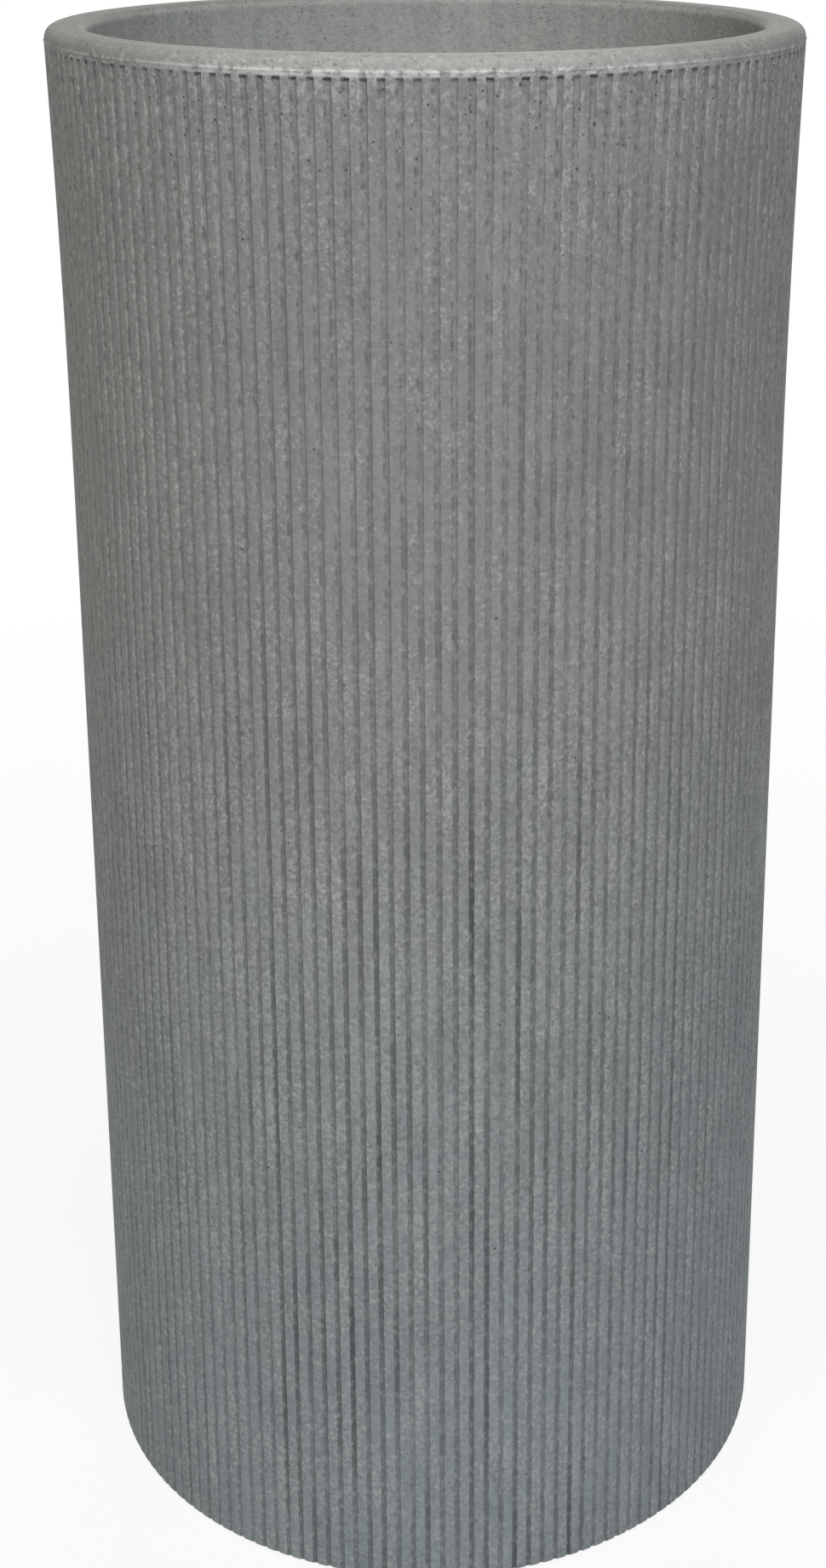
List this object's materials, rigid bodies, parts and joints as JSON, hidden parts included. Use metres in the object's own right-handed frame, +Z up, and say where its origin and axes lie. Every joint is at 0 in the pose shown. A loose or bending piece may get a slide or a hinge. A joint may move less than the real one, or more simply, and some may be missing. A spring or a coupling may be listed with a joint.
{
  "type": "tall flower pot",
  "caption": "Tall round ribbed floor planter with a hollow rim, a lift-out planting liner with pull-up handles, a root grid over a water reservoir and a float that shows the level.",
  "frame": {"origin": "centre of the base, on the surface that the pot stands on", "axes": "+Z up along the pot's axis, -Y towards the viewer of the picture, +Y towards the level indicator"},
  "size_m": [0.39, 0.39, 0.8],
  "materials": {
    "stone_plastic": "matt stone look",
    "liner_plastic": "satin moulded",
    "handle_plastic": "satin moulded",
    "grid_plastic": "satin moulded",
    "plug_plastic": "satin moulded",
    "seal_rubber": "matt",
    "tube_plastic": "satin moulded",
    "clear_plastic": "clear gloss",
    "float_plastic": "gloss",
    "signal_plastic": "gloss"
  },
  "bodies": {
    "pot": {"pot_shell": "stone_plastic"},
    "plug": {"drain_plug": "plug_plastic", "drain_seal": "seal_rubber"},
    "liner": {"liner_pot": "liner_plastic"},
    "handle_right": {"liner_handle_right": "handle_plastic"},
    "handle_left": {"liner_handle_left": "handle_plastic"},
    "grid": {"root_grid": "grid_plastic", "wick_basket": "grid_plastic", "indicator_tube": "tube_plastic", "indicator_cap": "clear_plastic"},
    "float": {"indicator_float": "float_plastic", "indicator_rod": "signal_plastic"}
  },
  "joints": [
    {"name": "plug_lift", "type": "slide", "parent": "pot", "child": "plug", "axis": [0, 0, 1], "range_m": [0, 0.06]},
    {"name": "liner_lift", "type": "slide", "parent": "pot", "child": "liner", "axis": [0, 0, 1], "range_m": [0, 0.4]},
    {"name": "handle_right_pull", "type": "slide", "parent": "liner", "child": "handle_right", "axis": [0, 0, 1], "range_m": [0, 0.065]},
    {"name": "handle_left_pull", "type": "slide", "parent": "liner", "child": "handle_left", "axis": [0, 0, 1], "range_m": [0, 0.065]},
    {"name": "grid_lift", "type": "slide", "parent": "liner", "child": "grid", "axis": [0, 0, 1], "range_m": [0, 0.33]},
    {"name": "float_travel", "type": "slide", "parent": "grid", "child": "float", "axis": [0, 0, 1], "range_m": [0, 0.036]}
  ]
}
